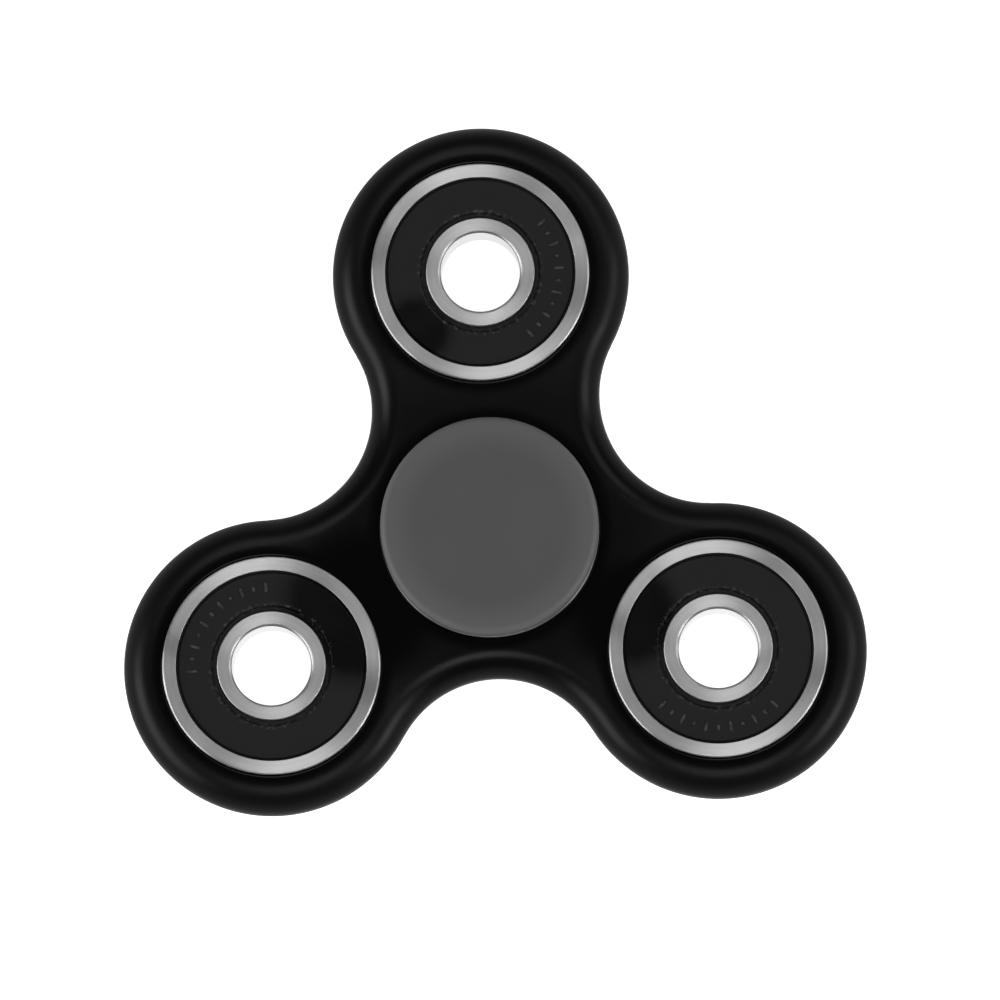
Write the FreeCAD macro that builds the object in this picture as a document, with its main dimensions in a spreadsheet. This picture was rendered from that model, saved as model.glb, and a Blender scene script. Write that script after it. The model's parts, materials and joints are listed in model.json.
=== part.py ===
"""A three-lobed fidget spinner: a moulded frame on a centre bearing, two finger caps, three lobe bearings.

Millimetres, +Z up.  The origin is on the spin axis, on the lower cap's flat face, so z = 0 is the table
that the spinner rests on.  Lobe 1 points along +Y, and lobes 2 and 3 follow it anticlockwise.

Each bearing is a sealed deep-groove ball bearing modelled about its own centre: an outer and an inner
ring, seven balls in a snap-in cage, and two rubber seals, each stiffened by a steel washer.
"""
import FreeCAD, Part
import math
import os
import re
import Sketcher

# Driving dimensions: what the spinner is designed from.  Everything else follows by formula.
SIZES = {
    # moulded frame
    "frame_thickness": 6.4,
    "frame_edge_round": 3.0,
    "lobe_wall": 4.0,            # plastic round a lobe bearing
    "neck_wall": 4.0,            # plastic between the centre bearing and the waist of the outline
    "bearing_web": 4.0,          # plastic between the centre bearing and each lobe bearing
    "seat_mouth_round": 0.3,     # rounded lip of each bearing seat
    "flat_between_rounds": 0.2,  # least flat left between the edge round and a seat's lip
    "wall_beside_round": 0.1,    # least straight wall left below a round
    # ball bearings, all four alike
    "bearing_outer": 22.0,
    "bearing_bore": 8.0,
    "bearing_width": 7.0,
    "bore_chamfer": 0.35,
    "rim_chamfer": 0.25,
    "outer_face_width": 1.37,    # flat end face of the outer ring
    "inner_face_width": 1.47,    # flat end face of the inner ring
    "ball_diameter": 3.969,
    "ball_count": 7,
    "race_clearance": 0.08,      # between a ball and either raceway
    "race_shoulder": 1.4,        # from the ball circle to the lands of both rings
    # seals and their steel washers
    "seal_recess": 0.35,
    "seal_thickness": 0.6,
    "seal_bead": 0.32,           # how far the seal's edge snaps into the outer ring
    "seal_gap": 0.06,            # running clearance of the lip round the inner ring
    "lip_width": 0.72,
    "lip_step": 0.3,
    "lip_clearance": 0.25,       # under the lip, above the inner ring's step
    "washer_thickness": 0.2,
    "washer_inset": 0.35,        # rubber left inside the washer
    "washer_edge": 0.2,          # rubber left outside the washer
    # ball cage
    "cage_width": 2.0,
    "cage_height": 3.3,
    "cage_seal_gap": 0.15,
    "pocket_clearance": 0.1,
    # finger caps
    "cap_diameter": 22.0,
    "cap_thickness": 2.6,
    "cap_standoff": 0.7,         # shoulder that keeps the cap off the turning frame
    "cap_shoulder_margin": 0.25,
    "cap_edge_round": 0.8,
    "cap_under_round": 0.4,
    "boss_length": 3.0,
    "boss_lead": 0.3,
    "spigot_diameter": 4.0,
    "spigot_engagement": 1.4,
    "spigot_clearance": 0.05,
    "socket_spare": 0.2,
}

# Formulas shared by several pieces, in terms of the sizes above.
FORMULAS = {
    "seat_radius": "bearing_outer / 2",
    "bearing_pitch": "(bearing_outer + bearing_web)",
    "lobe_radius": "(bearing_outer / 2 + lobe_wall)",
    "waist_radius": "(bearing_outer / 2 + neck_wall)",
    "half_width": "bearing_width / 2",
    "ball_circle": "((bearing_outer + bearing_bore) / 4)",
    "race_radius": "(ball_diameter / 2 + race_clearance)",
    "outer_face_radius": "(bearing_outer / 2 - outer_face_width)",
    "inner_face_radius": "(bearing_bore / 2 + inner_face_width)",
    "seal_radius": "(bearing_outer / 2 - outer_face_width + seal_bead)",
    "seal_top": "(bearing_width / 2 - seal_recess)",
    "seal_base": "(bearing_width / 2 - seal_recess - seal_thickness)",
    "washer_inner": "(bearing_bore / 2 + inner_face_width + seal_gap + lip_width + washer_inset)",
    "washer_outer": "((bearing_outer + bearing_bore) / 4 + race_shoulder - washer_edge)",
    "middle_height": "(cap_thickness + cap_standoff + bearing_width / 2)",
    "cap_top": "(cap_standoff + cap_thickness)",
    "boss_gap": "(bearing_width - 2 * boss_length)",
}

LOBES = ("lobe_1", "lobe_2", "lobe_3")
FIRST_LOBE_ANGLE = 90
SIDES = ("upper", "lower")
SHEET = "Sizes"
SAME = 1e-4              # two lengths closer than this are the same
FORMULA_LEVELS = 2       # a shared formula may name another one, but no deeper


def bound(text):
    """Turn a formula in plain size names into one that reads the spreadsheet."""
    for _ in range(FORMULA_LEVELS):
        text = re.sub(r"[a-z_]+[a-z0-9_]*", lambda word: FORMULAS.get(word[0], word[0]), text)
    return re.sub(r"[a-z_]+[a-z0-9_]*", lambda word: prefixed(word[0]), text)


def prefixed(word):
    """Name the sheet in front of a size, and leave functions and units as they are."""
    return SHEET + "." + word if word in SIZES else word


def add_sheet(doc):
    """Keep the driving dimensions in a spreadsheet, one named row each."""
    sheet = doc.addObject("Spreadsheet::Sheet", SHEET)
    for row, (alias, value) in enumerate(SIZES.items(), start=1):
        sheet.set(f"A{row}", alias)
        sheet.set(f"B{row}", str(value))
        sheet.setAlias(f"B{row}", alias)
    doc.recompute()
    return sheet


def add_body(doc, name):
    """Start a piece that is built from sketched features."""
    body = doc.addObject("PartDesign::Body", name)
    body.Label = name
    return body


def add_sketch(body, name, plane):
    """Attach an empty sketch to one of the body's own origin planes."""
    sketch = body.newObject("Sketcher::SketchObject", name)
    support = [item for item in body.Origin.OriginFeatures if item.Role == plane][0]
    sketch.AttachmentSupport = [(support, "")]
    sketch.MapMode = "FlatFace"
    return sketch


def pin_point(sketch, geometry, point, across, up):
    """Hold one point of a sketch at two formulas measured from the sketch's origin."""
    for kind, formula in (("DistanceX", across), ("DistanceY", up)):
        here = sketch.getPoint(geometry, point)
        value = here.x if kind == "DistanceX" else here.y
        index = sketch.addConstraint(Sketcher.Constraint(kind, -1, 1, geometry, point, value))
        sketch.setExpression(f"Constraints[{index}]", bound(formula))


def draw_polygon(sketch, corners):
    """Draw a closed outline of straight lines whose corners follow formulas."""
    count = len(corners)
    start = [FreeCAD.Vector(math.cos(math.tau * k / count), math.sin(math.tau * k / count), 0)
             for k in range(count)]
    for k in range(count):
        sketch.addGeometry(Part.LineSegment(start[k], start[(k + 1) % count]))
    for k in range(count):
        sketch.addConstraint(Sketcher.Constraint("Coincident", k, 2, (k + 1) % count, 1))
    for k, (across, up) in enumerate(corners):
        pin_point(sketch, k, 1, across, up)


def draw_circle(sketch, across, up, radius):
    """Draw a circle whose centre and radius follow formulas."""
    circle = sketch.addGeometry(Part.Circle(FreeCAD.Vector(1, 1, 0), FreeCAD.Vector(0, 0, 1), 1))
    pin_point(sketch, circle, 3, across, up)
    index = sketch.addConstraint(Sketcher.Constraint("Radius", circle, 1.0))
    sketch.setExpression(f"Constraints[{index}]", bound(radius))


def revolve(body, kind, name, corners):
    """Turn a half section (radius, height) about the Z axis, to add or to remove material."""
    sketch = add_sketch(body, name + "_section", "XZ_Plane")
    draw_polygon(sketch, corners)
    feature = body.newObject("PartDesign::" + kind, name)
    feature.Profile = sketch
    feature.ReferenceAxis = (sketch, ["V_Axis"])
    feature.Angle = 360
    body.Document.recompute()
    return feature


def groove_raceway(body, name):
    """Cut the ball track, a round groove that follows the ball circle."""
    sketch = add_sketch(body, name + "_section", "XZ_Plane")
    draw_circle(sketch, "ball_circle", "0", "race_radius")
    groove = body.newObject("PartDesign::Groove", name)
    groove.Profile = sketch
    groove.ReferenceAxis = (sketch, ["V_Axis"])
    groove.Angle = 360
    body.Document.recompute()
    return groove


def place(piece, across="0", forward="0", height="middle_height"):
    """Tie a piece's place to formulas."""
    for axis, formula in (("x", across), ("y", forward), ("z", height)):
        piece.setExpression(f"Placement.Base.{axis}", bound(formula))


def circle_point(radius, degrees):
    """Formulas of a point on a circle about the origin."""
    return f"{radius} * cos({degrees} deg)", f"{radius} * sin({degrees} deg)"


def lobe_angle(index):
    """Direction of a lobe, in degrees anticlockwise from +X."""
    return FIRST_LOBE_ANGLE + index * 360 / len(LOBES)


def draw_frame_outline(sketch, sheet):
    """Draw three convex lobe arcs joined by three concave neck arcs, all tangent.

    The neck radius is the one whose arc touches both lobes and passes the waist:
    (waist^2 + pitch^2 - waist * pitch - lobe^2) / (pitch + 2 * lobe - 2 * waist).
    """
    pitch = sheet.bearing_outer + sheet.bearing_web
    lobe = sheet.bearing_outer / 2 + sheet.lobe_wall
    waist = sheet.bearing_outer / 2 + sheet.neck_wall
    neck = (waist ** 2 + pitch ** 2 - waist * pitch - lobe ** 2) / (pitch + 2 * lobe - 2 * waist)
    normal = FreeCAD.Vector(0, 0, 1)
    touch = math.atan2((waist + neck) * math.sin(math.pi / 3), pitch - (waist + neck) / 2)
    arcs = []
    for index in range(len(LOBES)):
        toward = math.radians(lobe_angle(index))
        centre = FreeCAD.Vector(pitch * math.cos(toward), pitch * math.sin(toward), 0)
        sweep = math.pi - touch
        arc = Part.ArcOfCircle(Part.Circle(centre, normal, lobe), toward - sweep, toward + sweep)
        arcs.append(sketch.addGeometry(arc))
        between = toward + math.pi / len(LOBES)
        reach = waist + neck
        centre = FreeCAD.Vector(reach * math.cos(between), reach * math.sin(between), 0)
        spread = math.atan2(pitch * math.sin(math.pi / 3), reach - pitch / 2)
        back = between + math.pi
        arc = Part.ArcOfCircle(Part.Circle(centre, normal, neck), back - spread, back + spread)
        arcs.append(sketch.addGeometry(arc))
    for index in range(len(LOBES)):
        lobe_arc = arcs[2 * index]
        neck_arc = arcs[2 * index + 1]
        next_lobe = arcs[(2 * index + 2) % len(arcs)]
        sketch.addConstraint(Sketcher.Constraint("Tangent", lobe_arc, 2, neck_arc, 2))
        sketch.addConstraint(Sketcher.Constraint("Tangent", neck_arc, 1, next_lobe, 1))
        pin_point(sketch, lobe_arc, 3, *circle_point("bearing_pitch", lobe_angle(index)))
        for arc, size, formula in ((lobe_arc, lobe, "lobe_radius"), (neck_arc, neck, neck_formula())):
            index_of_radius = sketch.addConstraint(Sketcher.Constraint("Radius", arc, size))
            sketch.setExpression(f"Constraints[{index_of_radius}]", bound(formula))


def neck_formula():
    """Formula of the neck arcs' radius, in size names."""
    above = ("(waist_radius * waist_radius + bearing_pitch * bearing_pitch"
             " - waist_radius * bearing_pitch - lobe_radius * lobe_radius)")
    return above + " / (bearing_pitch + 2 * lobe_radius - 2 * waist_radius)"


def seat_formulas():
    """Centres of the four bearing seats: the middle one, then the lobes."""
    return [("0", "0")] + [circle_point("bearing_pitch", lobe_angle(k)) for k in range(len(LOBES))]


def edge_names(shape, wanted):
    """Names of a shape's edges that a test picks."""
    return [f"Edge{number}" for number, edge in enumerate(shape.Edges, start=1) if wanted(edge)]


def make_frame(doc, sheet):
    """Mould the frame: a rounded three-lobed plate with four through seats."""
    body = add_body(doc, "spinner_frame")
    outline = add_sketch(body, "outline", "XY_Plane")
    draw_frame_outline(outline, sheet)
    plate = body.newObject("PartDesign::Pad", "plate")
    plate.Profile = outline
    plate.SideType = "Symmetric"
    plate.setExpression("Length", bound("frame_thickness"))
    doc.recompute()

    half = sheet.frame_thickness / 2
    rounded = body.newObject("PartDesign::Fillet", "edge_round")
    rounded.Base = (plate, edge_names(plate.Shape, lambda edge: edge.BoundBox.ZLength < half))
    wall_limit = "frame_thickness / 2 - wall_beside_round"
    flat_limit = "lobe_wall - seat_mouth_round - flat_between_rounds"
    rounded.setExpression("Radius", bound(f"min(frame_edge_round; {wall_limit}; {flat_limit})"))
    doc.recompute()

    circles = add_sketch(body, "seat_circles", "XY_Plane")
    for across, up in seat_formulas():
        draw_circle(circles, across, up, "seat_radius")
    seats = body.newObject("PartDesign::Pocket", "bearing_seats")
    seats.Profile = circles
    seats.Type = "ThroughAll"
    seats.Midplane = True
    doc.recompute()

    seat_radius = sheet.bearing_outer / 2
    mouths = body.newObject("PartDesign::Fillet", "seat_mouths")
    mouths.Base = (seats, edge_names(seats.Shape, lambda edge: is_circle(edge, seat_radius)))
    mouths.setExpression("Radius", bound(f"min(seat_mouth_round; {wall_limit})"))
    doc.recompute()
    place(body)
    return body


def is_circle(edge, radius):
    """Whether an edge is a full circle of the radius."""
    full = edge.isClosed() and isinstance(edge.Curve, Part.Circle)
    return full and abs(edge.Curve.Radius - radius) < SAME


def make_outer_ring(doc, name):
    """Turn a bearing's outer ring: raceway inside, a snap groove for each seal, chamfered rim."""
    body = add_body(doc, name)
    half = [("bearing_outer / 2", "half_width - rim_chamfer"),
            ("bearing_outer / 2 - rim_chamfer", "half_width"),
            ("outer_face_radius", "half_width"),
            ("outer_face_radius", "seal_top"),
            ("seal_radius", "seal_top"),
            ("seal_radius", "seal_base"),
            ("ball_circle + race_shoulder", "seal_base")]
    revolve(body, "Revolution", "ring", mirrored_section(half))
    groove_raceway(body, "raceway")
    return body


def make_inner_ring(doc, name):
    """Turn a bearing's inner ring: raceway outside, a step under each seal lip, chamfered bore."""
    body = add_body(doc, name)
    half = [("bearing_bore / 2", "half_width - bore_chamfer"),
            ("bearing_bore / 2 + bore_chamfer", "half_width"),
            ("inner_face_radius", "half_width"),
            ("inner_face_radius", "seal_base - lip_clearance"),
            ("ball_circle - race_shoulder", "seal_base - lip_clearance")]
    revolve(body, "Revolution", "ring", mirrored_section(half))
    groove_raceway(body, "raceway")
    return body


def mirrored_section(half):
    """Close an upper half section with its mirror image below the middle plane."""
    return half + [(radius, f"-({height})") for radius, height in reversed(half)]


def make_cage(doc, name):
    """Mould the snap-in cage: a ring with one round pocket for each ball, open at the top."""
    body = add_body(doc, name)
    inner = "ball_circle - cage_width / 2"
    outer = "ball_circle + cage_width / 2"
    base = "cage_seal_gap - seal_base"
    top = "cage_seal_gap - seal_base + cage_height"
    revolve(body, "Revolution", "ring", [(inner, base), (outer, base), (outer, top), (inner, top)])
    pocket = body.newObject("PartDesign::SubtractiveSphere", "pocket")
    pocket.setExpression("Radius", bound("ball_diameter / 2 + pocket_clearance"))
    pocket.setExpression("Placement.Base.x", bound("ball_circle"))
    doc.recompute()
    pattern = body.newObject("PartDesign::PolarPattern", "pockets")
    pattern.Originals = [pocket]
    pattern.Axis = ([item for item in body.Origin.OriginFeatures if item.Role == "Z_Axis"][0], [""])
    pattern.Angle = 360
    pattern.setExpression("Occurrences", bound("ball_count"))
    body.Tip = pattern
    doc.recompute()
    return body


def make_seal(doc, name):
    """Mould a rubber seal: bead in the outer ring, stepped lip at the inner ring, recess for the washer."""
    body = add_body(doc, name)
    lip = "inner_face_radius + seal_gap"
    step = "inner_face_radius + seal_gap + lip_width"
    recess = "seal_base + washer_thickness"
    corners = [(lip, "seal_base"), ("washer_inner", "seal_base"), ("washer_inner", recess),
               ("washer_outer", recess), ("washer_outer", "seal_base"), ("seal_radius", "seal_base"),
               ("seal_radius", "seal_top"), (step, "seal_top"), (step, "seal_top - lip_step"),
               (lip, "seal_top - lip_step")]
    revolve(body, "Revolution", "rubber", corners)
    return body


def make_washer(doc, name):
    """Stamp the flat steel washer that stiffens a seal."""
    body = add_body(doc, name)
    top = "seal_base + washer_thickness"
    revolve(body, "Revolution", "washer", [("washer_inner", "seal_base"), ("washer_outer", "seal_base"),
                                           ("washer_outer", top), ("washer_inner", top)])
    return body


def turn_over(body):
    """Turn a piece that is modelled for the upper side so that it faces down."""
    body.Placement = FreeCAD.Placement(FreeCAD.Vector(), FreeCAD.Rotation(FreeCAD.Vector(1, 0, 0), 180))


def make_ball(doc, name, centre, degrees):
    """Make one steel ball at its place on the ball circle."""
    ball = doc.addObject("Part::Sphere", name)
    ball.Label = name
    ball.setExpression("Radius", bound("ball_diameter / 2"))
    across, forward = circle_point("ball_circle", degrees)
    place(ball, f"{centre[0]} + {across}", f"{centre[1]} + {forward}")
    return ball


def make_bearing(doc, sheet, name, centre):
    """Assemble one bearing about a centre in the frame's middle plane."""
    pieces = [make_outer_ring(doc, name + "_outer_ring"),
              make_inner_ring(doc, name + "_inner_ring"),
              make_cage(doc, name + "_cage")]
    for side in SIDES:
        pair = [make_seal(doc, f"{name}_{side}_seal"), make_washer(doc, f"{name}_{side}_seal_washer")]
        if side == "lower":
            for piece in pair:
                turn_over(piece)
        pieces += pair
    for piece in pieces:
        place(piece, *centre)
    count = int(sheet.ball_count)
    balls = [make_ball(doc, f"{name}_ball_{k + 1}", centre, k * 360 / count) for k in range(count)]
    return pieces + balls


def make_cap(doc, name, fitting):
    """Mould a finger cap: a round pad on a shoulder, with a boss for the bearing's bore.

    Its own z = 0 is the plane where the shoulder meets the inner ring.  The upper cap's boss ends in a
    spigot, and the lower cap's boss has the socket that it locates in.
    """
    body = add_body(doc, name)
    boss = "bearing_bore / 2"
    shoulder = "inner_face_radius - cap_shoulder_margin"
    tip = "-(boss_length)"
    core = [("0", "cap_top"), ("cap_diameter / 2", "cap_top"), ("cap_diameter / 2", "cap_standoff"),
            (shoulder, "cap_standoff"), (shoulder, "0"), (boss, "0"),
            (boss, "boss_lead - boss_length"), (f"{boss} - boss_lead", tip)]
    spigot = "spigot_diameter / 2"
    if fitting == "spigot":
        end = "-(boss_length + boss_gap + spigot_engagement)"
        core += [(spigot, tip), (spigot, end), ("0", end)]
    else:
        socket = spigot + " + spigot_clearance"
        floor = "spigot_engagement + socket_spare - boss_length"
        core += [(socket, tip), (socket, floor), ("0", floor)]
    pad = revolve(body, "Revolution", "pad", core)
    sheet = doc.getObject(SHEET)
    radius = sheet.cap_diameter / 2
    top = sheet.cap_standoff + sheet.cap_thickness
    face = round_rim(body, pad, "face_round", circle_at(pad.Shape, radius, top), "cap_edge_round")
    round_rim(body, face, "under_round", circle_at(face.Shape, radius, sheet.cap_standoff), "cap_under_round")
    return body


def circle_at(shape, radius, height):
    """Names of a shape's full circular edges of a radius at a height."""
    return edge_names(shape, lambda edge: is_circle(edge, radius) and abs(edge.BoundBox.ZMin - height) < SAME)


def round_rim(body, base, name, edges, size):
    """Round a pad's rim; two rounds never take more than the pad's thickness."""
    rounded = body.newObject("PartDesign::Fillet", name)
    rounded.Base = (base, edges)
    rounded.setExpression("Radius", bound(f"min({size}; cap_thickness / 2 - wall_beside_round)"))
    body.Document.recompute()
    return rounded


def check(doc, pieces):
    """Stop if any feature failed or any piece isn't one closed, valid solid."""
    for item in doc.Objects:
        if "Invalid" in item.State or "Error" in item.State:
            raise RuntimeError(f"{item.Name} failed: {item.State}")
    for piece in pieces:
        shape = piece.Shape
        if shape.isNull() or not shape.isValid() or len(shape.Solids) != 1:
            raise RuntimeError(f"{piece.Label} is not one valid solid")


def write(pieces, folder="parts"):
    """Write each piece to a file named by its label."""
    os.makedirs(folder, exist_ok=True)
    for piece in pieces:
        piece.Shape.exportStep(os.path.join(folder, piece.Label + ".step"))


def make_spinner(doc):
    """Assemble the whole spinner and return its pieces."""
    sheet = add_sheet(doc)
    upper_cap = make_cap(doc, "upper_cap", "spigot")
    place(upper_cap, height="middle_height + half_width")
    lower_cap = make_cap(doc, "lower_cap", "socket")
    turn_over(lower_cap)
    place(lower_cap, height="middle_height - half_width")
    pieces = [make_frame(doc, sheet), upper_cap, lower_cap]
    for name, centre in zip(("centre",) + LOBES, seat_formulas()):
        pieces += make_bearing(doc, sheet, name, centre)
    doc.recompute()
    return pieces


def main():
    """Build the spinner, check its pieces and write them out."""
    doc = FreeCAD.newDocument("fidget_spinner")
    pieces = make_spinner(doc)
    check(doc, pieces)
    write(pieces)
    box = pieces[0].Shape.BoundBox
    for piece in pieces[1:]:
        box.add(piece.Shape.BoundBox)
    print(f"{len(pieces)} pieces, {box.XLength:.2f} x {box.YLength:.2f} x {box.ZLength:.2f} mm")


main()
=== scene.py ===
# %% [markdown]
# # A three-lobed fidget spinner
#
# The spinner is a moulded plastic frame that turns on a ball bearing between two finger caps.  Three
# more bearings of the same size fill its lobes and give it its weight.  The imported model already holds
# every piece at its place, so this lesson gives each visible piece a finer surface and its real finish.

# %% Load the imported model
import json
import math

import bmesh
import bpy
import mathutils
import numpy as np
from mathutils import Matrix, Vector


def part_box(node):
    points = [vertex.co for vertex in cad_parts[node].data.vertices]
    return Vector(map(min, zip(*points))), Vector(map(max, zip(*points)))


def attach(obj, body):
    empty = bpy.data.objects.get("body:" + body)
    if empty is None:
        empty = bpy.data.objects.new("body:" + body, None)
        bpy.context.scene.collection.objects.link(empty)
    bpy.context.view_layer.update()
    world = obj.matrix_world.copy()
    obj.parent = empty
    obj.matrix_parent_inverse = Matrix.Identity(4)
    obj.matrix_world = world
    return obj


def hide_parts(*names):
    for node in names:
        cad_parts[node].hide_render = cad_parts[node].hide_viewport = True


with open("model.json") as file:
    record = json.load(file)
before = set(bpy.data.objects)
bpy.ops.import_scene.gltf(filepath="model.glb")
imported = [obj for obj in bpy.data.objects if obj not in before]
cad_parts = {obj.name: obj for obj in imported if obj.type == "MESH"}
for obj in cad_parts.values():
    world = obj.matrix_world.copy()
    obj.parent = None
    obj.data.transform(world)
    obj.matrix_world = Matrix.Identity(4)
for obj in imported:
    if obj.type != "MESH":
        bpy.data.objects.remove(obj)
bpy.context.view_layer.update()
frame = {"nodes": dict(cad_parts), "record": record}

scene = bpy.context.scene
scene.view_settings.view_transform = "Standard"

# %% [markdown]
# ## Sizes
#
# Lengths are in metres, and `MM` makes them easy to read.  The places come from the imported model: the
# bearings' boxes give their centres, their width and the pitch, and the frame's box gives its thickness
# and the radius of a lobe.  The waist, where the outline comes nearest to the axis, is measured on the
# frame's own points.
#
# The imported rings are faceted, so the middle of a box can be a few thousandths of a millimetre off.  That
# is enough to leave open seams between the three sectors of the frame, so the pitch is rounded to a
# hundredth of a millimetre and the lobes' angles to whole degrees, and the centres follow from them.

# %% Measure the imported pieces
MM = 0.001
LOBES = ("lobe_1", "lobe_2", "lobe_3")
BEARINGS = ("centre",) + LOBES


def middle(node):
    """Middle of a piece's box."""
    low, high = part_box(node)
    return np.array((low + high) / 2)


ring_low, ring_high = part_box("lobe_1_outer_ring")
frame_low, frame_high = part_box("spinner_frame")
cap_low, cap_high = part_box("upper_cap")
measured = {name: middle(name + "_outer_ring") for name in BEARINGS}
MIDDLE = measured["centre"][2]
PITCH = round(measured["lobe_1"][1], 5)
LOBE_ANGLES = [math.radians(round(math.degrees(math.atan2(measured[name][1], measured[name][0]))))
               for name in LOBES]
CENTRES = {"centre": np.array([0, 0, MIDDLE])}
for name, angle in zip(LOBES, LOBE_ANGLES):
    CENTRES[name] = np.array([PITCH * math.cos(angle), PITCH * math.sin(angle), MIDDLE])
RING_RADIUS = (ring_high.x - ring_low.x) / 2
HALF_WIDTH = (ring_high.z - ring_low.z) / 2
HALF_PLATE = (frame_high.z - frame_low.z) / 2
LOBE_RADIUS = frame_high.y - PITCH
CAP_RADIUS = (cap_high.x - cap_low.x) / 2
CAP_TOP = cap_high.z - MIDDLE

WAIST_WINDOW = math.radians(2)
plate_points = np.array([vertex.co for vertex in frame["nodes"]["spinner_frame"].data.vertices])
bearing = np.arctan2(plate_points[:, 1], plate_points[:, 0]) - LOBE_ANGLES[0] + math.pi / 3
on_waist = np.abs(bearing) < WAIST_WINDOW
WAIST = np.hypot(plate_points[on_waist, 0], plate_points[on_waist, 1]).max()
NECK_RADIUS = PITCH - WAIST
print(f"pitch {PITCH / MM:.2f}, lobe {LOBE_RADIUS / MM:.2f}, waist {WAIST / MM:.2f} mm")

# %% [markdown]
# ## From numbers to a mesh
#
# Every new piece is a surface on a grid: rows run along a profile, columns run round the piece.  One
# function joins grids into a closed mesh.  It welds the points that two grids share, turns the faces
# outwards, shades them smooth, and keeps an edge crisp only where the surface really turns a corner.

# %% Turn grids of points into a closed mesh
WELD = 0.0004 * MM
CRISP = math.radians(32)


def grid_faces(rows, columns, wrap_rows, wrap_columns):
    """Corner numbers of the quads between neighbouring rows and columns of a grid."""
    row = np.arange(rows if wrap_rows else rows - 1)[:, None]
    column = np.arange(columns if wrap_columns else columns - 1)[None, :]
    below = row * columns
    above = (row + 1) % rows * columns
    right = (column + 1) % columns
    corners = np.stack([below + column, below + right, above + right, above + column], axis=-1)
    return corners.reshape(-1, 4)


def solid(name, patches):
    """Weld patches, each (grid, wrap_rows, wrap_columns), into one closed mesh object."""
    points = []
    faces = []
    count = 0
    for grid, wrap_rows, wrap_columns in patches:
        rows, columns = grid.shape[:2]
        faces.append(grid_faces(rows, columns, wrap_rows, wrap_columns) + count)
        points.append(grid.reshape(-1, 3))
        count += rows * columns
    mesh = bpy.data.meshes.new(name)
    mesh.from_pydata(np.concatenate(points), [], np.concatenate(faces))
    work = bmesh.new()
    work.from_mesh(mesh)
    bmesh.ops.remove_doubles(work, verts=work.verts, dist=WELD)
    bmesh.ops.recalc_face_normals(work, faces=work.faces)
    open_edges = sum(not edge.is_manifold for edge in work.edges)
    work.to_mesh(mesh)
    work.free()
    mesh.polygons.foreach_set("use_smooth", np.ones(len(mesh.polygons), dtype=bool))
    mesh.set_sharp_from_angle(angle=CRISP)
    piece = bpy.data.objects.new(name, mesh)
    scene.collection.objects.link(piece)
    print(f"{name}: {len(mesh.polygons)} faces, {open_edges} open edges")
    return piece


# %% [markdown]
# ## Profiles with real corners
#
# Nothing that is moulded, turned or ground has a perfectly sharp corner, and it is the small round that
# catches the light.  A profile is written as corners, each with its own radius, and this function swaps
# every corner for an arc that touches both of its sides.  It also adds a row close to each end of an
# arc, so that the shading of the arc does not bleed over the flat beside it.

# %% Round the corners of a profile
ARC_STEPS = 7
GUARD = 0.05 * MM
SEGMENTS = 180


def arc(centre, radius, start, end, steps):
    """Points centre + radius * (cos a, sin a) for steps angles from start to end, in degrees."""
    angles = np.radians(np.linspace(start, end, steps))
    return np.stack([centre[0] + radius * np.cos(angles), centre[1] + radius * np.sin(angles)], axis=-1)


def corner_arc(before, corner, after, radius):
    """Tangent arc in a corner: its centre is on the bisector, radius / sin(half angle) from the corner."""
    to_before = (before - corner) / np.linalg.norm(before - corner)
    to_after = (after - corner) / np.linalg.norm(after - corner)
    half = math.acos(np.clip(to_before @ to_after, -1, 1)) / 2
    touch = radius / math.tan(half)
    bisector = (to_before + to_after) / np.linalg.norm(to_before + to_after)
    centre = corner + bisector * radius / math.sin(half)
    first = corner + to_before * touch - centre
    last = corner + to_after * touch - centre
    sweep = math.atan2(first[0] * last[1] - first[1] * last[0], first @ last)
    turn = sweep * np.linspace(0, 1, ARC_STEPS)
    x = first[0] * np.cos(turn) - first[1] * np.sin(turn)
    y = first[0] * np.sin(turn) + first[1] * np.cos(turn)
    points = centre + np.stack([x, y], axis=-1)
    guard_in = points[0] + to_before * min(GUARD, touch / 2)
    guard_out = points[-1] + to_after * min(GUARD, touch / 2)
    return np.concatenate([[guard_in], points, [guard_out]])


def rounded(corners, closed=True):
    """Profile through corners (x, y, radius) in millimetres, with each corner rounded to its radius."""
    table = np.array(corners, dtype=float) * MM
    count = len(table)
    parts = []
    for k, (x, y, radius) in enumerate(table):
        at_end = not closed and k in (0, count - 1)
        if radius == 0 or at_end:
            parts.append([[x, y]])
        else:
            parts.append(corner_arc(table[k - 1][:2], table[k][:2], table[(k + 1) % count][:2], radius))
    return np.concatenate(parts)


def turned(profile, centre, segments=SEGMENTS):
    """Grid of a profile (r, z) turned about a vertical line: centre + (r cos a, r sin a, z)."""
    angle = np.arange(segments) * (math.tau / segments)
    radius = profile[:, 0][:, None]
    x = centre[0] + radius * np.cos(angle)
    y = centre[1] + radius * np.sin(angle)
    z = centre[2] + profile[:, 1][:, None] + 0 * angle
    return np.stack([x, y, z], axis=-1)


# %% [markdown]
# ## The moulded frame
#
# The frame is one plate of black plastic.  A boolean of cylinders would leave long thin triangles and
# pinched shading, so the plate is laid out the way a patternmaker would: each of the four bearing seats
# owns the plastic around it, out to the outline or to the line halfway to its neighbour.  Columns run
# outwards from each seat, so every face is close to a square and the highlights flow along the edge.
#
# The outline itself is six tangent arcs: a convex one round each lobe, and a concave one at each neck.

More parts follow.
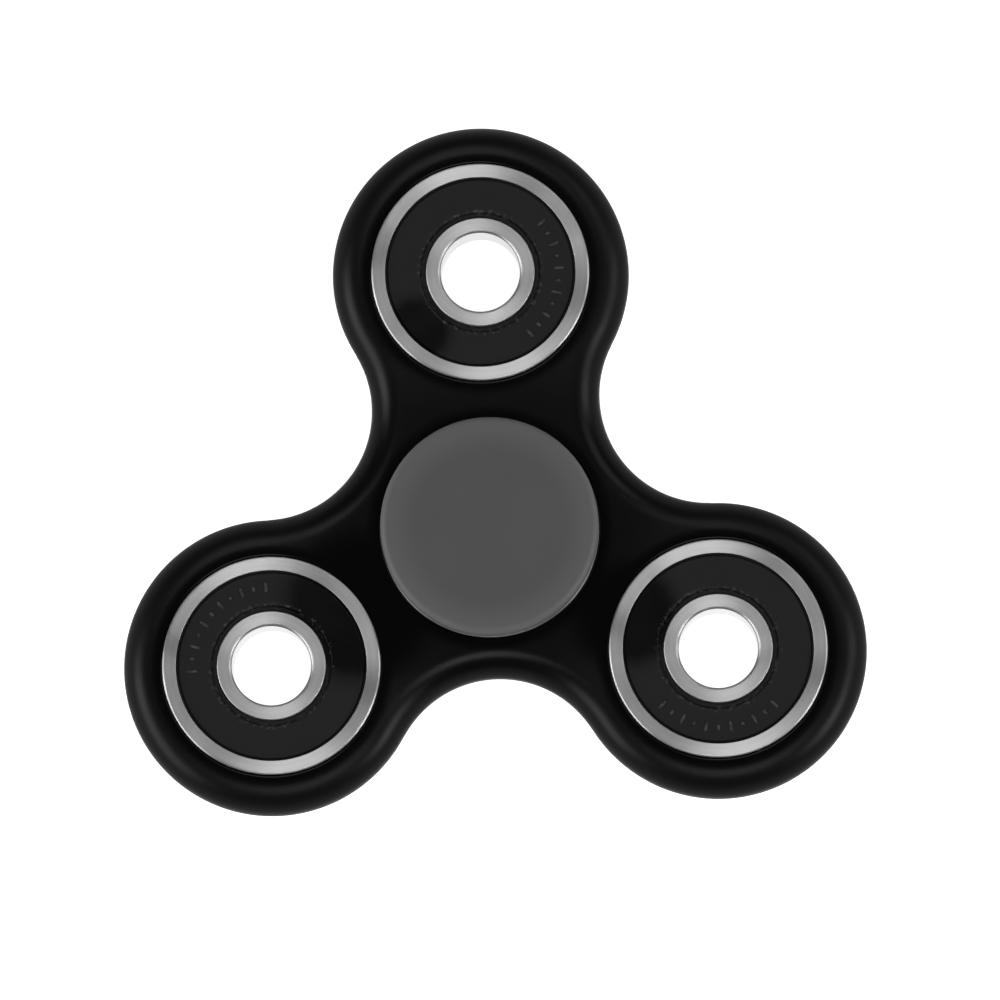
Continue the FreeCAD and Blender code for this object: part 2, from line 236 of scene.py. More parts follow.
# %% Lay out the outline of one lobe and one neck
EDGE_ROUND = 3.0 * MM
MOUTH_ROUND = 0.3 * MM
PARTING_RIDGE = 0.03 * MM
PARTING_HEIGHTS = np.array([0.11, 0.07, 0.03]) * MM
SEAT_RADIUS = RING_RADIUS
FLAT_ROWS = 7
CROWDING = 1.5
EDGE_ROWS = 16
MOUTH_ROWS = 8
NECK_COLUMNS = 15
LOBE_COLUMNS = 151
HALFWAY_COLUMNS = 25
NECK_CENTRE = PITCH * np.array([math.cos(math.pi / 3), math.sin(math.pi / 3)])


def on_circle(centre, radius, angles, inward):
    """Outline points on a circle, and the unit normal that points into the plastic."""
    way = np.stack([np.cos(angles), np.sin(angles)], axis=-1)
    return centre + radius * way, inward * way


def lobe_outline():
    """Outline of the lobe along +X: half a neck, 240 degrees round the lobe, half a neck."""
    steps = np.radians(np.linspace(-90, -60, NECK_COLUMNS, endpoint=False))
    neck, neck_in = on_circle(NECK_CENTRE, NECK_RADIUS, steps, 1)
    around = np.radians(np.linspace(120, -120, LOBE_COLUMNS))
    lobe, lobe_in = on_circle(np.array([PITCH, 0]), LOBE_RADIUS, around, -1)
    flip = np.array([1, -1])
    points = np.concatenate([neck, lobe, (neck * flip)[::-1]])
    normals = np.concatenate([neck_in, lobe_in, (neck_in * flip)[::-1]])
    return points, normals


def waist_outline():
    """Outline that the middle seat owns at the neck between +X and the next lobe."""
    steps = np.radians(np.linspace(-90, -150, 2 * NECK_COLUMNS + 1))
    return on_circle(NECK_CENTRE, NECK_RADIUS, steps, 1)


def halfway_line():
    """Points on the line halfway between the middle seat and the lobe, from low y to high y."""
    reach = NECK_CENTRE[1] - NECK_RADIUS - EDGE_ROUND
    along = np.linspace(-reach, reach, HALFWAY_COLUMNS)
    return np.stack([np.full(HALFWAY_COLUMNS, PITCH / 2), along], axis=-1)


# %% [markdown]
# Each seat's sheet of plastic starts at its boundary on the top face, runs in over the flat, rolls over
# the rounded mouth, goes down the seat wall and comes back out on the underside.  The outer band is the
# bullnose edge: its section is a quarter round above and below, with the fine raised line that the two
# halves of a mould leave where they meet.

# %% Build the frame from seat sheets and edge bands
def spread(points, heights):
    """Stack plan points (rows, columns, 2) and a height for each row into a grid."""
    z = np.broadcast_to(heights[:, None], points.shape[:2])
    return np.concatenate([points, z[..., None]], axis=-1)


def seat_sheet(seat, boundary):
    """Plastic that one seat owns: flat, rounded mouth, wall, and the same again underneath.

    The flat's rows crowd towards the mouth: a row's share of the way out is a falling power."""
    outward = boundary - seat
    outward /= np.linalg.norm(outward, axis=1)[:, None]
    rim = seat + outward * (SEAT_RADIUS + MOUTH_ROUND)
    share = np.linspace(1, 0, FLAT_ROWS)[:, None, None] ** CROWDING
    flat = rim + (boundary - rim) * share
    roll = np.linspace(0, math.pi / 2, MOUTH_ROWS)
    reach = SEAT_RADIUS + MOUTH_ROUND * (1 - np.sin(roll))
    mouth = seat + outward * reach[:, None, None]
    height = HALF_PLATE - MOUTH_ROUND * (1 - np.cos(roll))
    top = np.concatenate([flat, mouth[1:]])
    heights = np.concatenate([np.full(FLAT_ROWS, HALF_PLATE), height[1:]])
    return spread(np.concatenate([top, top[::-1]]), np.concatenate([heights, -heights[::-1]]))


def edge_band(points, normals):
    """Bullnose: inset falls from the round's radius to the wall as 1 - sin, height falls as 1 - cos."""
    roll = np.linspace(0, math.pi / 2, EDGE_ROWS)
    inset = PARTING_RIDGE + (EDGE_ROUND - PARTING_RIDGE) * (1 - np.sin(roll))
    height = HALF_PLATE - EDGE_ROUND * (1 - np.cos(roll))
    line_inset = np.array([PARTING_RIDGE, PARTING_RIDGE, 0])
    inset = np.concatenate([inset, line_inset])
    height = np.concatenate([height, PARTING_HEIGHTS])
    inset = np.concatenate([inset, inset[::-1]])
    height = np.concatenate([height, -height[::-1]])
    return spread(points + normals * inset[:, None, None], height)


def facing(grid, angle):
    """Turn a grid about the spin axis and lift it to the frame's middle height."""
    cosine, sine = math.cos(angle), math.sin(angle)
    turn = np.array([[cosine, sine, 0], [-sine, cosine, 0], [0, 0, 1]])
    return grid @ turn + np.array([0, 0, MIDDLE])


def about_axis(points, angle):
    """Turn plan points about the spin axis."""
    turn = np.array([[math.cos(angle), math.sin(angle)], [-math.sin(angle), math.cos(angle)]])
    return points @ turn


def make_frame():
    """Weld three lobe sheets, the middle sheet and their edge bands into the frame."""
    points, normals = lobe_outline()
    waist, waist_in = waist_outline()
    line = halfway_line()
    patches = []
    lobe_seat = np.array([PITCH, 0.0])
    lobe_boundary = np.concatenate([points + normals * EDGE_ROUND, line[1:-1]])
    middle_boundary = []
    for angle in LOBE_ANGLES:
        patches.append((facing(seat_sheet(lobe_seat, lobe_boundary), angle), False, True))
        patches.append((facing(edge_band(points, normals), angle), False, False))
        patches.append((facing(edge_band(waist, waist_in), angle), False, False))
        middle_boundary.append(about_axis(line[:-1], angle))
        middle_boundary.append(about_axis((waist + waist_in * EDGE_ROUND)[:-1], angle))
    sheet = seat_sheet(np.zeros(2), np.concatenate(middle_boundary))
    patches.append((facing(sheet, 0), False, True))
    return solid("moulded_frame", patches)


moulded_frame = make_frame()

# %% [markdown]
# ## Bearing rings
#
# A bearing ring is turned and ground from steel, so a turned profile is the natural way to make it.  The
# outer ring has a small round on its rim, a flat end face, and a groove that the seal snaps into.  The
# inner ring has a ground face and a rounded corner at the bore.  Both keep their ball track inside.

# %% Turn the outer and inner rings of all four bearings
# In millimetres.  A corner is its radius from the axis, its height above the middle, and its round.
BALL_CIRCLE = 7.5
TRACK_RADIUS = 2.064
SHOULDER = 1.4
TRACK_EDGE = math.degrees(math.acos(SHOULDER / TRACK_RADIUS))
TRACK_ROWS = 15
OUTER_HALF = [(11.0, 3.5, 0.22), (9.63, 3.5, 0.04), (9.63, 3.15, 0), (9.95, 3.15, 0), (9.95, 2.55, 0),
              (8.9, 2.55, 0.1)]
INNER_HALF = [(4.0, 3.5, 0.33), (5.47, 3.5, 0.1), (5.47, 2.3, 0), (6.1, 2.3, 0.1)]


def ring_section(half):
    """Closed section: upper corners, the ball track as an arc about the ball circle, mirrored corners."""
    first, last = half[0][0], half[-1][0]
    upper = rounded([(first, 0, 0)] + half + [(last, 0, 0)], closed=False)[1:-1]
    track = arc((BALL_CIRCLE * MM, 0), TRACK_RADIUS * MM, TRACK_EDGE, -TRACK_EDGE, TRACK_ROWS)
    if last < BALL_CIRCLE:
        track[:, 0] = 2 * BALL_CIRCLE * MM - track[:, 0]
    return np.concatenate([upper, track, upper[::-1] * np.array([1, -1])])


rings = {}
for name in BEARINGS:
    for kind, half in (("outer", OUTER_HALF), ("inner", INNER_HALF)):
        node = f"{name}_{kind}_ring"
        grid = turned(ring_section(half), CENTRES[name])
        rings[node] = solid("ground_" + node, [(grid, True, True)])

# %% [markdown]
# ## Rubber seals
#
# Each bearing is closed by a ring of nitrile rubber that is moulded onto a steel washer.  Its outer edge
# snaps into the outer ring, and leaves a fine groove beside the steel.  At the inner ring the rubber steps
# down to a thin lip that clears the steel by a few hundredths of a millimetre.  The same profile,
# turned over, makes the lower seals.

# %% Turn the eight seals
SEAL_SECTION = [(5.53, 2.55, 0.05), (5.53, 2.86, 0.1), (5.92, 2.86, 0.08), (6.12, 3.1, 0.12),
                (6.3, 3.15, 0.1), (9.34, 3.15, 0.08), (9.43, 2.94, 0.04), (9.66, 2.94, 0.04),
                (9.66, 3.15, 0), (9.95, 3.15, 0), (9.95, 2.55, 0), (8.7, 2.55, 0), (8.7, 2.75, 0),
                (6.6, 2.75, 0), (6.6, 2.55, 0)]
SIDES = {"upper": 1, "lower": -1}
seals = {}
for name in BEARINGS:
    for side, sign in SIDES.items():
        node = f"{name}_{side}_seal"
        section = rounded(SEAL_SECTION) * np.array([1, sign])
        seals[node] = solid("moulded_" + node, [(turned(section, CENTRES[name]), True, True)])

# %% [markdown]
# The real seals carry a short row of raised characters.  Here a plain row of moulded dashes takes their
# place, with no letters or numbers in it.  Each dash is a low pillow: a superellipse in plan whose height
# falls from the middle as the square root of 1 - rho^4, and its foot is sunk a little into the rubber.

# %% Raise the moulded dashes on the lobe seals
SEAL_FACE = 3.15 * MM
DASH_RADIUS = 7.95 * MM
DASH_HEIGHT = 0.12 * MM
DASH_SINK = 0.03 * MM
DASH_ARC = {"lobe_1": -8, "lobe_2": 137, "lobe_3": 268}
DASH_LENGTHS = (1.1, 0.6, 1.1, 0.35, 1.1, 0.6, 1.1, 0.35, 1.1, 0.6, 1.1)
DASH_WIDTH = 0.34 * MM
DASH_PITCH = 9.0
DASH_ROWS = 6
DASH_COLUMNS = 20


def dash(centre, direction, length, sign):
    """One pillow: rho runs out from its middle, and a superellipse of power 4 gives its plan."""
    rho = np.sin(np.linspace(0, math.pi / 2, DASH_ROWS))[:, None]
    angle = np.arange(DASH_COLUMNS)[None, :] * (math.tau / DASH_COLUMNS)
    cosine, sine = np.cos(angle), np.sin(angle)
    plan = (np.abs(cosine) ** 4 + np.abs(sine) ** 4) ** -0.25
    along = rho * plan * cosine * length / 2
    across = rho * plan * sine * DASH_WIDTH / 2
    height = DASH_HEIGHT * np.sqrt(1 - rho ** 4) + 0 * angle
    lift = centre[2] + sign * (SEAL_FACE + height)
    foot = centre[2] + sign * (SEAL_FACE - DASH_SINK)
    radial = np.array([math.cos(direction), math.sin(direction)])
    x = centre[0] + (DASH_RADIUS + along) * radial[0] - across * radial[1]
    y = centre[1] + (DASH_RADIUS + along) * radial[1] + across * radial[0]
    crown = np.stack([x, y, lift], axis=-1)
    base = crown[::-1].copy()
    base[..., 2] = foot
    return np.concatenate([crown, base])


marks = {}
for name, middle_angle in DASH_ARC.items():
    for side, sign in SIDES.items():
        turn = (np.arange(len(DASH_LENGTHS)) - (len(DASH_LENGTHS) - 1) / 2) * DASH_PITCH
        row = [dash(CENTRES[name], math.radians(middle_angle + sign * step), length * MM, sign)
               for step, length in zip(turn, DASH_LENGTHS)]
        node = f"{name}_{side}_seal"
        marks[node] = solid(node + "_dashes", [(grid, False, True) for grid in row])

# %% [markdown]
# ## Finger caps
#
# The caps are moulded pads that a finger and thumb hold.  The face is flat in the middle, falls away very
# slightly near the rim (the drop grows with the square of the distance past the flat), and then turns
# over a small round.  The shoulder underneath keeps the pad off the turning frame, and the boss presses
# into the middle bearing.

# %% Turn the upper and lower caps
# In millimetres, and heights are from the middle of the bearing.
CAP_THICKNESS = 2.6
FACE_FLAT, FACE_END, FACE_DROP = 6.5, 10.0, 0.07
FACE_ROWS = 14
RIM_DROP, RIM_ROUND, UNDER_ROUND = 0.05, 0.75, 0.38
SHOULDER_RADIUS = 5.22
BOSS_RADIUS, BOSS_END, BOSS_CHAMFER = 4.0, 0.5, 0.3
SPIGOT_RADIUS, SPIGOT_END = 2.0, -1.9
SOCKET_RADIUS, SOCKET_END = 2.05, 2.1
CAP_SEGMENTS = 216


def cap_section(fitting):
    """Profile from the axis on the face, round the pad and down the boss, back to the axis."""
    top = CAP_TOP / MM
    radius = CAP_RADIUS / MM
    under = top - CAP_THICKNESS
    seat = HALF_WIDTH / MM
    reach = np.linspace(0, FACE_END, FACE_ROWS)
    past = np.clip((reach - FACE_FLAT) / (FACE_END - FACE_FLAT), 0, 1)
    face = np.stack([reach, top - FACE_DROP * past ** 2], axis=-1) * MM
    corners = [(FACE_END, top - FACE_DROP, 0), (radius, top - FACE_DROP - RIM_DROP, RIM_ROUND),
               (radius, under, UNDER_ROUND), (SHOULDER_RADIUS, under, 0.15), (SHOULDER_RADIUS, seat, 0.1),
               (BOSS_RADIUS, seat, 0), (BOSS_RADIUS, BOSS_END + BOSS_CHAMFER, 0),
               (BOSS_RADIUS - BOSS_CHAMFER, BOSS_END, 0)]
    core = {"spigot": [(SPIGOT_RADIUS, BOSS_END, 0), (SPIGOT_RADIUS, SPIGOT_END, 0.2), (0, SPIGOT_END, 0)],
            "socket": [(SOCKET_RADIUS, BOSS_END, 0), (SOCKET_RADIUS, SOCKET_END, 0), (0, SOCKET_END, 0)]}
    return np.concatenate([face, rounded(corners + core[fitting], closed=False)[1:]])


caps = {}
for side, fitting in (("upper", "spigot"), ("lower", "socket")):
    section = cap_section(fitting) * np.array([1, SIDES[side]])
    grid = turned(section, CENTRES["centre"], segments=CAP_SEGMENTS)
    caps[side + "_cap"] = solid("moulded_" + side + "_cap", [(grid, False, True)])

# %% [markdown]
# ## Materials
#
# Each finish starts from what the real one is and how its surface was made.  Colours are written as sRGB
# hex values, the way a paint chart gives them, and one function turns them into the linear values that
# the renderer works in.  A second small function adds a node, sets its values and makes its links.

# %% Two helpers for every material
def linear(hex_colour):
    """Linear RGBA of an sRGB hex colour: the sRGB curve undone, channel by channel."""
    channels = np.array([int(hex_colour[k:k + 2], 16) for k in (1, 3, 5)]) / 255
    low = channels / 12.92
    high = ((channels + 0.055) / 1.055) ** 2.4
    return (*np.where(channels <= 0.04045, low, high), 1.0)


def add(tree, kind, inputs=None, **settings):
    """Add a node of a kind; settings are its properties, and inputs are values or sockets to link."""
    node = tree.nodes.new("ShaderNode" + kind)
    for key, value in settings.items():
        setattr(node, key, value)
    for key, value in (inputs or {}).items():
        if isinstance(value, bpy.types.NodeSocket):
            tree.links.new(value, node.inputs[key])
        else:
            node.inputs[key].default_value = value
    return node


def start_material(name):
    """A new empty material with its output node, as (material, tree, output)."""
    material = bpy.data.materials.new(name)
    material.use_nodes = True
    material.node_tree.nodes.clear()
    output = add(material.node_tree, "OutputMaterial")
    return material, material.node_tree, output


def per_metre(size):
    """Scale of a noise whose features are about this large, in metres."""
    return 1.0 / size


def plan_distance(tree, place, centre):
    """Distance in plan from a vertical line through a point: the length of (x - cx, y - cy, 0)."""
    moved = add(tree, "VectorMath", {0: place, 1: (centre[0], centre[1], 0.0)}, operation="SUBTRACT")
    flat = add(tree, "VectorMath", {0: moved.outputs["Vector"], 1: (1.0, 1.0, 0.0)}, operation="MULTIPLY")
    return add(tree, "VectorMath", {0: flat.outputs["Vector"]}, operation="LENGTH").outputs["Value"]


SOFTLY = {"interpolation_type": "SMOOTHSTEP"}


# %% [markdown]
# ### Black ABS, injection moulded against a satin mould
#
# ABS takes the texture of the mould exactly.  This one is a fine satin: the gloss is soft, and the flats
# look nearly black while the rounded edges carry broad grey highlights.  Handling adds faint smudges,
# which change the gloss and not the colour, and the black itself drifts a very little over the plate.
# The grain is drawn a little coarser than the real one, about a tenth of a millimetre, so that it shows.
#
# Three places are made glossier and painted darker, as painted shade: a narrow band round the mouth of
# each seat, the plate round the cap, and a round patch on the inner side of each lobe, beside the cap.  The
# patches cross the seals too.  Each place is a distance in plan, turned into a soft step of the roughness
# and of the colour.

# %% Mix the black ABS
# Radii of the painted shade round the cap and at the seat mouths: full shade out to the first, none past the
# second.
CAP_SHADE_FULL_TO = 12.5 * MM
CAP_SHADE_END = 21 * MM
SEAT_SHADE_FULL_TO = RING_RADIUS + 0.4 * MM
SEAT_SHADE_END = RING_RADIUS + 1.7 * MM
# Each painted shade patch is its middle in plan, the radius of full shade and the radius where it ends, in
# millimetres.
SHADE_PATCHES = (((-6.4, 20.5), 2.2, 4.8), ((-13.8, -7.6), 5.5, 9.5), ((13.6, -9.4), 3.6, 7.0))


def outside_shade_patches(tree, place):
    """1 away from the painted shade patches, and 0 in the middle of each patch."""
    unshaded = 1.0
    for spot, inside, outside in SHADE_PATCHES:
        away = plan_distance(tree, place, np.array(spot) * MM)
        step = add(tree, "MapRange", {"Value": away, "From Min": inside * MM, "From Max": outside * MM},
                   **SOFTLY)
        both = add(tree, "Math", {0: unshaded, 1: step.outputs["Result"]}, operation="MULTIPLY")
        unshaded = both.outputs["Value"]
    return unshaded


def black_abs():
    material, tree, output = start_material("black_abs_satin")
    place = add(tree, "TexCoord").outputs["Object"]
    grain = add(tree, "TexNoise", {"Vector": place, "Scale": per_metre(0.13 * MM), "Detail": 2.0})
    smudge = add(tree, "TexNoise", {"Vector": place, "Scale": per_metre(7 * MM), "Detail": 4.0,
                                    "Roughness": 0.6})
    flow = add(tree, "TexNoise", {"Vector": place, "Scale": per_metre(16 * MM), "Detail": 2.0})
    nearest = plan_distance(tree, place, CENTRES["centre"])
    # Painted shade round the cap: the plate is painted darker and made glossier towards the cap, out to 21
    # mm.
    cap_surround_shade = add(tree, "MapRange", {"Value": nearest, "From Min": CAP_SHADE_FULL_TO, "From Max": CAP_SHADE_END,
                                     "To Min": 0.55}, **SOFTLY)
    for lobe in LOBES:
        away = plan_distance(tree, place, CENTRES[lobe])
        nearest = add(tree, "Math", {0: nearest, 1: away}, operation="MINIMUM").outputs["Value"]
    # Painted shade at each seat: a narrow band round the mouth is painted darker and made glossier.
    mouth = add(tree, "MapRange", {"Value": nearest, "From Min": SEAT_SHADE_FULL_TO, "From Max": SEAT_SHADE_END},
                **SOFTLY)
    satin = add(tree, "Math", {0: mouth.outputs["Result"], 1: cap_surround_shade.outputs["Result"]},
                operation="MULTIPLY").outputs["Value"]
    satin = add(tree, "Math", {0: satin, 1: outside_shade_patches(tree, place)}, operation="MULTIPLY").outputs["Value"]
    patchy = add(tree, "MapRange", {"Value": smudge.outputs["Fac"], "From Min": 0.3, "From Max": 0.7,
                                    "To Min": 0.84}, **SOFTLY)
    gloss = add(tree, "Math", {0: satin, 1: patchy.outputs["Result"]}, operation="MULTIPLY")
    rough = add(tree, "MapRange", {"Value": gloss.outputs["Value"], "To Min": 0.14, "To Max": 0.38})
    skin = add(tree, "Mix", {"Factor": flow.outputs["Fac"], 6: linear("#040405"), 7: linear("#08080a")},
               data_type="RGBA")
    # Where the satin mask is low the colour is painted nearly black: painted shade at the seats, round the
    # cap and in the patches.
    colour = add(tree, "Mix", {"Factor": satin, 6: linear("#020202"), 7: skin.outputs[2]}, data_type="RGBA")
    bump = add(tree, "Bump", {"Height": grain.outputs["Fac"], "Strength": 0.12, "Distance": 0.02 * MM})
    shader = add(tree, "BsdfPrincipled", {
        "Base Color": colour.outputs[2], "Roughness": rough.outputs["Result"], "IOR": 1.53,
        "Specular IOR Level": 0.13, "Normal": bump.outputs["Normal"]})
    tree.links.new(shader.outputs["BSDF"], output.inputs["Surface"])
    return material


# %% [markdown]
# ### Grey ABS with a fine spark-eroded grain
#
# The caps are taken to come from a mould whose steel was spark eroded, which leaves an even matt grain.
# It scatters the light, so the cap reads as one quiet grey with only a soft band of light on its rounded
# rim.  Over the outer face and the rim the colour is painted paler, a painted highlight that rises towards
# the rim.

# %% Mix the grey ABS
# Spans in plan of the painted highlight on the outer face and on the rounded rim.
FACE_HIGHLIGHT_SPAN = (7.2 * MM, 10.4 * MM)
RIM_HIGHLIGHT_SPAN = (10.2 * MM, 10.9 * MM)


def grey_abs():
    material, tree, output = start_material("grey_abs_matt")
    place = add(tree, "TexCoord").outputs["Object"]
    grain = add(tree, "TexNoise", {"Vector": place, "Scale": per_metre(0.16 * MM), "Detail": 2.0})
    cloud = add(tree, "TexNoise", {"Vector": place, "Scale": per_metre(5 * MM), "Detail": 3.0})
    body = add(tree, "Mix", {"Factor": cloud.outputs["Fac"], 6: linear("#434343"), 7: linear("#484848")},
               data_type="RGBA")
    reach = plan_distance(tree, place, CENTRES["centre"])
    # Painted highlight: the grey is painted paler towards the rim, up to #626262.
    ring = add(tree, "MapRange", {"Value": reach, "From Min": FACE_HIGHLIGHT_SPAN[0], "From Max": FACE_HIGHLIGHT_SPAN[1],
                                  "To Max": 0.3}, **SOFTLY)
    lip = add(tree, "MapRange", {"Value": reach, "From Min": RIM_HIGHLIGHT_SPAN[0], "From Max": RIM_HIGHLIGHT_SPAN[1],
                                 "To Max": 0.5}, **SOFTLY)
    rim_highlight = add(tree, "Math", {0: ring.outputs["Result"], 1: lip.outputs["Result"]}, operation="ADD")
    colour = add(tree, "Mix", {"Factor": rim_highlight.outputs["Value"], 6: body.outputs[2], 7: linear("#626262")},
                 data_type="RGBA")
    gloss = add(tree, "MapRange", {"Value": cloud.outputs["Fac"], "From Min": 0.3, "From Max": 0.7,
                                   "To Min": 0.46, "To Max": 0.54})
    bump = add(tree, "Bump", {"Height": grain.outputs["Fac"], "Strength": 0.25, "Distance": 0.02 * MM})
    shader = add(tree, "BsdfPrincipled", {
        "Base Color": colour.outputs[2], "Roughness": gloss.outputs["Result"], "IOR": 1.53,
        "Specular IOR Level": 0.35, "Normal": bump.outputs["Normal"]})
    tree.links.new(shader.outputs["BSDF"], output.inputs["Surface"])
    return material


# %% [markdown]
# ### Ground bearing steel
#
# The rings are chrome steel, ground on a spinning chuck.  The wheel leaves thousands of fine circular
# lines, so the steel reflects broadly across the lines and sharply along them: the bright and dark
# sectors of every turned face.  The material measures the distance from its own bearing's axis, runs a
# one-dimensional noise along it for the lines, and gives the shader the way across them as its tangent.
# The real lines are a few hundredths of a millimetre apart, and they are drawn at about twice that.
#
# Two more values are chosen for the look and not taken from a real ring.  The bump leans the whole face a
# little towards the bore, which makes the sectors on one side brighter than those opposite.  The inner
# ring is given rougher, more even scratches than the outer one.  The bore is taken to be much smoother than
# the faces, so it mirrors whatever lies under the bearing.

# %% Grind the steel of one bearing's rings
LINE_HEIGHT = 0.0035 * MM
LINE_LEAN = -0.08
BORE_RADIUS = 4.0 * MM


def ground_steel(name, centre, roughness, streak):
    material, tree, output = start_material(name)
    place = add(tree, "TexCoord").outputs["Object"]
    local = add(tree, "Mapping", {"Vector": place, "Location": (-centre[0], -centre[1], -centre[2])})
    parts = add(tree, "SeparateXYZ", {"Vector": local.outputs["Vector"]})
    flat = add(tree, "CombineXYZ", {"X": parts.outputs["X"], "Y": parts.outputs["Y"]})
    radius = add(tree, "VectorMath", {0: flat.outputs["Vector"]}, operation="LENGTH")
    path = add(tree, "Math", {0: radius.outputs["Value"], 1: parts.outputs["Z"]}, operation="ADD")
    lines = add(tree, "TexNoise", {"W": path.outputs["Value"], "Scale": per_metre(0.07 * MM), "Detail": 2.0},
                noise_dimensions="1D")
    broad = add(tree, "TexNoise", {"W": path.outputs["Value"], "Scale": per_metre(0.6 * MM), "Detail": 1.0},
                noise_dimensions="1D")
    cloud = add(tree, "TexNoise", {"Vector": place, "Scale": per_metre(3 * MM), "Detail": 3.0})
    tone = add(tree, "Mix", {"Factor": lines.outputs["Fac"], 6: linear("#b4b4b5"), 7: linear("#cbcbcc")},
               data_type="RGBA")
    shade = add(tree, "MapRange", {"Value": broad.outputs["Fac"], "From Min": 0.3, "From Max": 0.7,
                                   "To Min": 0.94, "To Max": 1.0})
    colour = add(tree, "VectorMath", {0: tone.outputs[2], "Scale": shade.outputs["Result"]},
                 operation="SCALE")
    ground = add(tree, "MapRange", {"Value": cloud.outputs["Fac"], "From Min": 0.3, "From Max": 0.7,
                                    "To Min": 0.92 * roughness, "To Max": 1.08 * roughness})
    honed = add(tree, "MapRange", {"Value": radius.outputs["Value"], "From Min": BORE_RADIUS + 0.01 * MM,
                                   "From Max": BORE_RADIUS + 0.05 * MM, "To Min": 0.2})
    gloss = add(tree, "Math", {0: ground.outputs["Result"], 1: honed.outputs["Result"]},
                operation="MULTIPLY")
    ridges = add(tree, "Math", {0: lines.outputs["Fac"], 1: LINE_HEIGHT}, operation="MULTIPLY")
    fall = add(tree, "Math", {0: radius.outputs["Value"], 1: LINE_LEAN}, operation="MULTIPLY")
    relief = add(tree, "Math", {0: ridges.outputs["Value"], 1: fall.outputs["Value"]},
                 operation="SUBTRACT")
    bump = add(tree, "Bump", {"Height": relief.outputs["Value"], "Strength": 1.0, "Distance": 1.0})
    across = add(tree, "VectorMath", {0: flat.outputs["Vector"]}, operation="NORMALIZE")
    shader = add(tree, "BsdfPrincipled", {
        "Base Color": colour.outputs["Vector"], "Metallic": 1.0, "Roughness": gloss.outputs["Value"],
        "Anisotropic": streak, "Tangent": across.outputs["Vector"], "Normal": bump.outputs["Normal"]})
    tree.links.new(shader.outputs["BSDF"], output.inputs["Surface"])
    return material


# %% [markdown]
# ### Nitrile rubber
#
# Seal rubber is black with carbon, and moulded against bare steel, so it has a dull satin skin.  It is
# made a shade greyer than the plastic around it, as rubber is when dust and wax gather on its surface.
# The lip beside the inner ring is made scuffed in small flecks, and the tops of the moulded dashes carry a
# painted highlight, painted paler and broken into flecks as well.

# %% Mix the seal rubber
LIP_INSIDE = (5.75 * MM, 5.95 * MM)
LIP_OUTSIDE = (6.5 * MM, 6.25 * MM)


